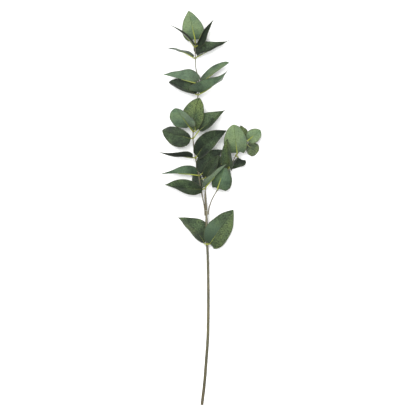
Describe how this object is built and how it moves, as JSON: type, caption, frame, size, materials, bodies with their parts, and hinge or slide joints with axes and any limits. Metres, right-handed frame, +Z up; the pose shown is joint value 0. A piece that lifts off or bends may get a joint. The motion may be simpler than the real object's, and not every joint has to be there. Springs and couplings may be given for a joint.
{
  "type": "artificial eucalyptus branch",
  "caption": "Artificial eucalyptus spray lying down: a long bare stem that forks into leafy shoots with paired round and pointed cloth leaves on moulded ribs.",
  "frame": {"origin": "middle of the bounding box seen from above, at the height of the surface the branch lies on", "axes": "+Y along the branch from its cut end to its tip, +X to the right of the branch seen from above with the tip away, +Z up from the surface"},
  "size_m": [0.189, 0.7206, 0.1044],
  "materials": {
    "leaf_cloth": "printed grey-green cloth, matte, paler underside",
    "rib_plastic": "moulded yellow-green, satin",
    "stem_plastic": "moulded bark, brown-green",
    "twig_plastic": "smooth, grey-brown"
  },
  "bodies": {
    "root": {"leaf_low_left": "leaf_cloth", "leaf_low_right": "leaf_cloth", "leaf_short_1_left": "leaf_cloth", "leaf_short_1_right": "leaf_cloth", "leaf_short_2_left": "leaf_cloth", "leaf_short_2_right": "leaf_cloth", "leaf_side_1_back": "leaf_cloth", "leaf_side_1_front": "leaf_cloth", "leaf_side_2_front": "leaf_cloth", "leaf_side_2_left": "leaf_cloth", "leaf_side_3_back": "leaf_cloth", "leaf_side_3_front": "leaf_cloth", "leaf_side_4_low": "leaf_cloth", "leaf_side_4_right": "leaf_cloth", "leaf_side_tip": "leaf_cloth", "leaf_tall_1_left": "leaf_cloth", "leaf_tall_1_right": "leaf_cloth", "leaf_tall_2_left": "leaf_cloth", "leaf_tall_2_right": "leaf_cloth", "leaf_tall_3_left": "leaf_cloth", "leaf_tall_3_right": "leaf_cloth", "leaf_tall_4_back": "leaf_cloth", "leaf_tall_4_front": "leaf_cloth", "leaf_tall_5_left": "leaf_cloth", "leaf_tall_5_right": "leaf_cloth", "leaf_tall_6_left": "leaf_cloth", "leaf_tall_6_right": "leaf_cloth", "leaf_tall_7_left": "leaf_cloth", "leaf_tall_7_right": "leaf_cloth", "leaf_tall_8_left": "leaf_cloth", "leaf_tall_8_right": "leaf_cloth", "leaf_tall_tip": "leaf_cloth", "main_stem": "stem_plastic", "ribs_low": "rib_plastic", "ribs_short_1": "rib_plastic", "ribs_short_2": "rib_plastic", "ribs_side_1": "rib_plastic", "ribs_side_2": "rib_plastic", "ribs_side_3": "rib_plastic", "ribs_side_4": "rib_plastic", "ribs_tall_1": "rib_plastic", "ribs_tall_2": "rib_plastic", "ribs_tall_3": "rib_plastic", "ribs_tall_4": "rib_plastic", "ribs_tall_5": "rib_plastic", "ribs_tall_6": "rib_plastic", "ribs_tall_7": "rib_plastic", "ribs_tall_8": "rib_plastic", "ribs_tall_tip": "rib_plastic", "short_shoot_stem": "twig_plastic", "side_shoot_stem": "twig_plastic", "tall_shoot_stem": "twig_plastic"}
  },
  "joints": []
}
